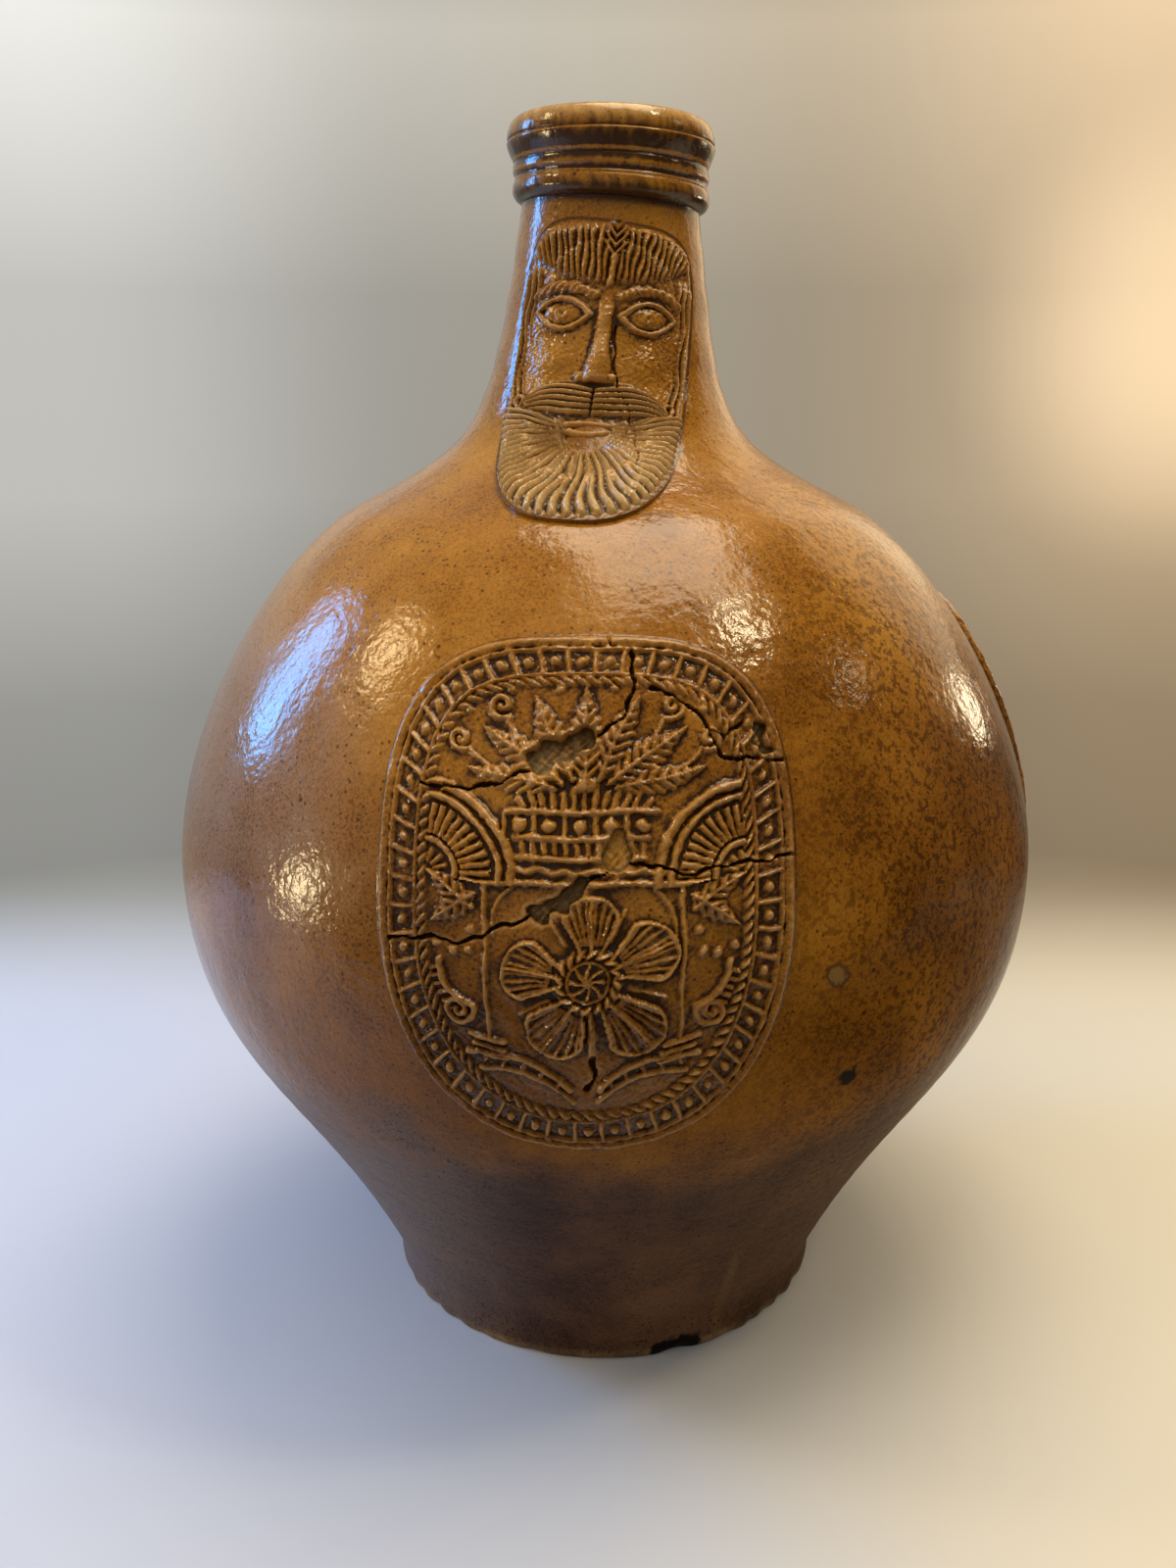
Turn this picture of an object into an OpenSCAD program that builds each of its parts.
// Salt-glazed stoneware jug with a bearded mask on its neck and oval medallions on its belly.
// The pot is thrown in three sections that are luted together on bevelled seams. The handle, the mask
// and the medallions are made apart and luted on to the outside. Millimetres, +Z up, the mask faces -Y,
// and the origin is at the centre of the base.

/* [Body] */
// Height of the jug, from the base to the lip
height = 340; // [320:1:380]
// Diameter of the foot on the table
foot_d = 134; // [110:1:160]
// Height of the upright foot band
foot_h = 11; // [8:1:20]
// Diameter where the foot band turns into the belly
waist_d = 136; // [110:1:160]
// Diameter of the belly at its widest
belly_d = 251; // [225:1:280]
// Height of the widest part of the belly
belly_z = 138; // [120:1:155]
// Lean of the lower belly from the vertical, where it leaves the foot, in degrees
lower_lean = 24; // [15:1:40]
// Thickness of the wall
wall = 6.5; // [4:0.5:9]
// Thickness of the base
base_t = 9; // [6:0.5:14]

/* [Neck and rim] */
// Diameter where the shoulder turns into the neck
root_d = 140; // [120:1:155]
// Height where the shoulder turns into the neck
root_z = 239; // [230:1:252]
// Lean of the shoulder from the vertical at that place, in degrees
root_lean = 63; // [50:1:72]
// Diameter of the neck under the rim
neck_d = 49; // [47:1:60]
// Lean of the neck from the vertical under the rim, in degrees
throat_lean = 8; // [0:1:12]
// Height of the ringed rim
rim_h = 22; // [18:1:30]
// How far the broadest ring of the rim stands out from the neck
rim_proud = 4; // [2:0.5:6]
// Diameter of the straight bore of the mouth, which takes a cork
mouth_d = 37; // [28:1:40]
// Length of the straight bore of the mouth
mouth_h = 34; // [20:1:40]
// Rounding of the lip
lip_r = 3; // [1:0.5:4]
// Bevel of the luted seams, from the outside of the wall to the inside
seam_bevel = 4; // [0:0.5:6]

/* [Handle] */
// Width of the strap
strap_w = 28; // [20:1:34]
// Thickness of the strap
strap_t = 11; // [8:0.5:14]
// Distance of the strap's upper end below the rim
handle_drop = 12; // [9:1:20]
// Distance from the root of the neck out to where the strap lands on the shoulder
landing_out = 4; // [2:1:12]
// How far the middle of the strap's loop lies outside the line between the strap's ends
handle_swell = 2; // [0:0.5:8]
// Width of the pressed-on pads at the ends of the strap
pad_w = 37; // [30:1:46]
// Thickness of those pads
pad_t = 3; // [1.5:0.5:5]

/* [Mask] */
// Height of the mask, measured upright
mask_h = 72; // [60:1:76]
// Width of the mask at the face
mask_w = 44; // [36:1:46]
// Width of the beard as a share of that
beard_spread = 1.16; // [1:0.02:1.2]
// Distance of the top of the mask below the rim
mask_drop = 7.5; // [4:0.5:12]
// Turn of the mask from the front, in degrees
mask_turn = -3; // [-10:0.5:10]
// Tilt of the mask, in degrees
mask_tilt = -5; // [-10:0.5:10]
// Thickness of the mask's ground
mask_t = 2; // [1:0.25:4]
// Height of its features above the ground
mask_relief = 2; // [1:0.25:3.5]

/* [Medallions] */
// Width of a medallion
medallion_w = 96; // [80:1:104]
// Height of a medallion, measured upright
medallion_h = 116; // [90:1:124]
// Height of the middle of the medallions above the widest part of the belly
medallion_rise = 19; // [10:1:26]
// Turn of the front medallion from the front, in degrees
front_turn = -1; // [-10:0.5:10]
// Turn of the right medallion from the front, in degrees
right_turn = 105; // [90:1:118]
// Turn of the left medallion from the front, in degrees
left_turn = -115; // [-118:1:-90]
// Thickness of a medallion's ground
medallion_t = 2; // [1:0.25:4]
// Height of its ornament above the ground
medallion_relief = 1.5; // [0.75:0.25:3]
// Width of its framed border
border_w = 14; // [10:1:18]
// Width of the raised lines of the border
line_w = 2.5; // [1.5:0.25:3.5]
// Number of petals of its rosette
petals = 5; // [4:1:8]

/* [Hidden] */
$fn = 96;

CLAY = [0.56, 0.36, 0.16];
DARK_CLAY = [0.34, 0.25, 0.19];
CURVE_STEPS = 14;
OVAL_STEPS = 48;
STRAP_STEPS = 20;
LOOP_TURN = 240;
rim_z = height - rim_h;
mask_z = rim_z - mask_drop - mask_h / 2;
medallion_z = belly_z + medallion_rise;
reach = belly_d;

// Handles of the profile's curves, as lengths along the tangents at their ends
lower_pull = 76;
belly_low_pull = 50;
belly_high_pull = 40;
shoulder_pull = 26.5;
root_pull = 40;
neck_pull = 0.78 * (rim_z - root_z);

// Rings of the rim from the bottom up: middle and half height as shares of rim_h,
// and projection as a share of rim_proud
RINGS = [[0.14, 0.14, 0.65], [0.4, 0.17, 0.6], [0.7, 0.22, 1], [0.94, 0.13, 0.9]];
RING_STEPS = 40;

function bezier(p, t) = pow(1 - t, 3) * p[0] + 3 * pow(1 - t, 2) * t * p[1]
    + 3 * (1 - t) * t * t * p[2] + pow(t, 3) * p[3];
function curve(p) = [for (i = [0 : CURVE_STEPS]) bezier(p, i / CURVE_STEPS)];
function unit(v) = v / norm(v);
function lean(angle) = [sin(angle), cos(angle)];

// Profile of the outside, as [radius, height] points from the bottom up
WAIST = [waist_d / 2, foot_h];
BELLY = [belly_d / 2, belly_z];
ROOT = [root_d / 2, root_z];
THROAT = [neck_d / 2, rim_z];
root_dir = [-sin(root_lean), cos(root_lean)];
throat_dir = [-sin(throat_lean), cos(throat_lean)];
foot_curve = [[foot_d / 2, 0], [foot_d / 2, foot_h / 3], WAIST];
lower_curve = curve([WAIST, WAIST + lower_pull * lean(lower_lean), BELLY - [0, belly_low_pull], BELLY]);
upper_curve = curve([BELLY, BELLY + [0, belly_high_pull], ROOT - shoulder_pull * root_dir, ROOT]);
neck_curve = curve([ROOT, ROOT + root_pull * root_dir, THROAT - neck_pull * throat_dir, THROAT]);
function ring_height(s) = max([for (g = RINGS)
    let (x = (s - g[0]) / g[1]) abs(x) < 1 ? g[2] * sqrt(1 - x * x) : 0]);
lip_z = height - lip_r;
rim_curve = [for (i = [1 : RING_STEPS]) let (s = i / RING_STEPS * (lip_z - rim_z) / rim_h)
    [neck_d / 2 + rim_proud * ring_height(s), rim_z + s * rim_h]];
lip_out = rim_curve[RING_STEPS - 1][0];
lip_curve = [for (a = [15 : 15 : 90]) [lip_out - lip_r * (1 - cos(a)), lip_z + lip_r * sin(a)]];
wall_curve = concat(foot_curve, slice(lower_curve, 1), slice(upper_curve, 1), slice(neck_curve, 1));
function slice(list, first) = [for (i = [first : len(list) - 1]) list[i]];

// A curve moved sideways by a distance, outwards where that is positive
function normal(c, i) = let (d = unit(c[min(i + 1, len(c) - 1)] - c[max(i - 1, 0)])) [d[1], -d[0]];
function moved(c, distance) = [for (i = [0 : len(c) - 1]) c[i] + distance * normal(c, i)];
function reversed(list) = [for (i = [len(list) - 1 : -1 : 0]) list[i]];

// The whole pot filled in, with its skin moved out by a distance
module envelope(distance = 0) {
    skin = moved(concat(slice(wall_curve, 2), [[neck_d / 2, height]]), distance);
    rotate_extrude()
        polygon(concat([[0, foot_h / 2]], [[skin[0][0], foot_h / 2]], skin, [[0, height]]));
}

// Foot, base and lower belly
module lower_body() {
    inner = [for (p = moved(lower_curve, -wall)) if (p[1] > base_t + wall / 2) p];
    color(DARK_CLAY)
        rotate_extrude()
            polygon(concat(
                [[0, 0]], foot_curve, slice(lower_curve, 1),
                [[belly_d / 2 - wall, belly_z + seam_bevel]],
                reversed(slice_end(inner, 1)),
                [[inner[0][0] - wall, base_t], [0, base_t]]));
}
function slice_end(list, last) = [for (i = [0 : len(list) - 1 - last]) list[i]];

// Upper belly and shoulder, seated on the bevelled lip of the lower body
module upper_body() {
    inner = [for (p = moved(upper_curve, -wall)) if (p[1] > belly_z + seam_bevel) p];
    color(CLAY)
        rotate_extrude()
            polygon(concat(
                upper_curve,
                [ROOT + seam_inward()],
                reversed(slice_end(inner, 1)),
                [[belly_d / 2 - wall, belly_z + seam_bevel]]));
}

// From the outside of the upper seam to its inside
function seam_inward() = wall * [-cos(root_lean), -sin(root_lean)] + seam_bevel * root_dir;

// Neck with its ringed rim and the bore of the mouth, seated on the shoulder
module neck() {
    bore_z = height - mouth_h;
    inner = [for (p = moved(neck_curve, -wall))
        if (p[1] < bore_z - wall && p[0] > mouth_d / 2 && p[0] < (ROOT + seam_inward())[0]) p];
    color(CLAY)
        rotate_extrude()
            polygon(concat(
                neck_curve, rim_curve, lip_curve,
                [[mouth_d / 2 + lip_r, height], [mouth_d / 2, lip_z], [mouth_d / 2, bore_z]],
                reversed(inner),
                [ROOT + seam_inward()]));
}

// Strap handle at the back, with pads that are pressed on to the neck and the shoulder
module strap_section() {
    polygon([for (i = [0 : STRAP_STEPS - 1]) superellipse(strap_t, strap_w, 2.6, 360 * i / STRAP_STEPS)]);
}
function superellipse(w, h, power, a) =
    [w / 2 * sign(cos(a)) * pow(abs(cos(a)), 2 / power), h / 2 * sign(sin(a)) * pow(abs(sin(a)), 2 / power)];

module handle() {
    top = [skin_r(rim_z - handle_drop), rim_z - handle_drop];
    landing = [root_d / 2 + landing_out, skin_z(root_d / 2 + landing_out)];
    span = landing - top;
    out = unit([-span[1], span[0]]);
    middle = (top + landing) / 2 + handle_swell * out;
    loop_r = norm(top - middle);
    color(CLAY)
        difference() {
            union() {
                translate([0, middle[0], middle[1]]) rotate([90, 0, 90])
                    rotate(atan2(out[1], out[0]) - LOOP_TURN / 2)
                        rotate_extrude(angle = LOOP_TURN) translate([loop_r, 0]) strap_section();
                applied(180, top[1], pad_t) oval(pad_w, pad_w / 2);
                applied(180, landing[1], pad_t) oval(pad_w, pad_w / 2);
            }
            envelope();
        }
}
// Height of the outside at a radius from the belly up, and radius of the neck at a height
function skin_z(r) = lookup(r, concat(reversed(neck_curve), slice(reversed(upper_curve), 1)));
function skin_r(z) = lookup(z, [for (p = neck_curve) [p[1], p[0]]]);

// Clay of a thickness, luted to the outside of the pot:
// its outline is drawn x sideways and y upwards about a height
module applied(turn, z, thickness, ground = 0) {
    rotate([0, 0, turn])
        intersection() {
            difference() {
                envelope(thickness);
                envelope(ground);
            }
            translate([0, 0, z]) rotate([90, 0, 0]) linear_extrude(reach) children();
        }
}
// An oval with a fullness for its upper half and one for its lower half: 2 is an ellipse, and more is squarer
module oval(w, h, upper = 2, lower = 2) {
    polygon([for (i = [0 : OVAL_STEPS - 1]) let (a = 360 * i / OVAL_STEPS)
        superellipse(w, h, a < 180 ? upper : lower, a)]);
}

// Oval medallion: a ground, a border of two raised lines, and a rosette under an arch
module medallion(turn) {
    inside_w = medallion_w - 2 * border_w;
    inside_h = medallion_h - 2 * border_w;
    color(CLAY) {
        applied(turn, medallion_z, medallion_t) oval(medallion_w, medallion_h, UPPER_FULL, LOWER_FULL);
        applied(turn, medallion_z, medallion_t + medallion_relief, medallion_t) {
            oval_line(medallion_w - 2 * line_w, medallion_h - 2 * line_w);
            oval_line(inside_w + 2 * line_w, inside_h + 2 * line_w);
            translate([0, -inside_h / 5]) rosette(inside_w * 0.62);
            translate([0, inside_h / 7]) square([inside_w * 0.56, 2 * line_w], center = true);
            for (side = [-1, 1]) translate([side * inside_w / 2, inside_h / 10]) arch(inside_w * 0.36, side);
        }
    }
}
UPPER_FULL = 3;
LOWER_FULL = 2.1;
module oval_line(w, h) {
    difference() {
        oval(w, h, UPPER_FULL, LOWER_FULL);
        oval(w - 2 * line_w, h - 2 * line_w, UPPER_FULL, LOWER_FULL);
    }
}
module rosette(w) {
    petal = w * 0.34;
    circle(d = w * 0.26);
    for (i = [0 : petals - 1]) rotate(90 + 360 * i / petals)
        translate([w * 0.33, 0]) oval(petal, petal * 0.84);
}
// Quarter of a ring, that opens downwards and to its side
module arch(r, side) {
    intersection() {
        difference() {
            circle(r);
            circle(r - 2 * line_w);
        }
        translate([side > 0 ? -r : 0, 0]) square(r);
    }
}

// Bearded mask: a ground with a fringe, brows, eyes, nose, moustache and a fan of beard strands
module mask() {
    eye_y = 0.14 * mask_h;
    nose_y = -0.06 * mask_h;
    mouth_y = -0.17 * mask_h;
    color(CLAY) {
        applied(mask_turn, mask_z, mask_t) rotate(mask_tilt) mask_outline();
        applied(mask_turn, mask_z, mask_t + mask_relief, mask_t) rotate(mask_tilt) {
            for (side = [-1, 1]) translate([side * mask_w * 0.21, eye_y]) eye(mask_w * 0.32);
            translate([0, (eye_y + nose_y) / 2]) oval(mask_w * 0.13, (eye_y - nose_y) * 1.2, 3, 3);
            for (side = [-1, 1]) translate([side * mask_w * 0.17, mouth_y + mask_h * 0.05])
                rotate(-side * 14) oval(mask_w * 0.36, mask_h * 0.07);
            translate([0, mouth_y]) oval(mask_w * 0.24, mask_h * 0.03);
            beard_strands(mouth_y - mask_h * 0.03);
            fringe(eye_y + mask_h * 0.11);
        }
    }
}
STRANDS = 15;
FRINGE = 12;
module mask_outline() {
    translate([0, mask_h * 0.14]) oval(mask_w, mask_h * 0.72, 3, 3);
    translate([0, -mask_h * 0.26]) oval(mask_w * beard_spread, mask_h * 0.48, 2.3, 2.3);
}
module eye(w) {
    difference() {
        oval(w, w * 0.56);
        oval(w * 0.78, w * 0.34);
    }
    circle(d = w * 0.2);
}
module strand(length, width) { translate([0, -width / 2]) square([length, width]); }
module beard_strands(y) {
    for (i = [0 : STRANDS - 1])
        let (a = -90 + 150 * (i / (STRANDS - 1) - 0.5), inner = mask_w * 0.2, outer = mask_w * 0.47)
            translate([0, y]) rotate(a) translate([inner, 0]) strand(outer - inner, mask_w * 0.03);
}
module fringe(y) {
    for (i = [0 : FRINGE - 1]) translate([mask_w * 0.8 * (i / (FRINGE - 1) - 0.5), y])
        rotate(90) strand(mask_h * 0.12, mask_w * 0.035);
}

module front_medallion() { medallion(front_turn); }
module right_medallion() { medallion(right_turn); }
module left_medallion() { medallion(left_turn); }

lower_body();
upper_body();
neck();
handle();
mask();
front_medallion();
right_medallion();
left_medallion();
